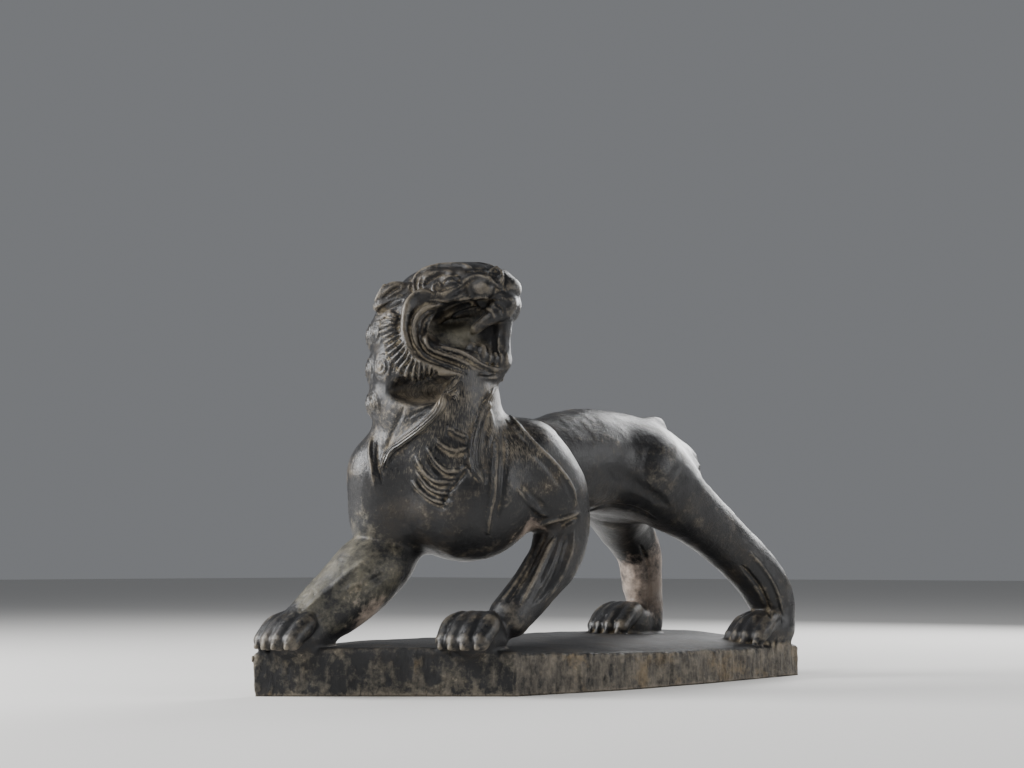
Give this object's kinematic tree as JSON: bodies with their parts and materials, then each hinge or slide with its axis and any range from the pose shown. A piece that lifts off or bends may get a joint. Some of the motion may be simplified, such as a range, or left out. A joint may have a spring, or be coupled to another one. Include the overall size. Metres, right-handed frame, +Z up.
{
  "type": "stone lion sculpture",
  "caption": "Small dark stone sculpture of a striding lion with its head turned back and its mouth open, carved in one block with an irregular low plinth.",
  "frame": {"origin": "middle of the box that holds the sculpture, on its flat underside", "axes": "+X towards the lion's rear, +Y towards the lion's right side, +Z up"},
  "size_m": [0.3734, 0.1356, 0.248],
  "materials": {
    "stone": "near-black stone with a worn satin polish, buff deposits in the cuts and a rougher, hewn plinth"
  },
  "bodies": {
    "root": {"stone_lion": "stone"}
  },
  "joints": []
}
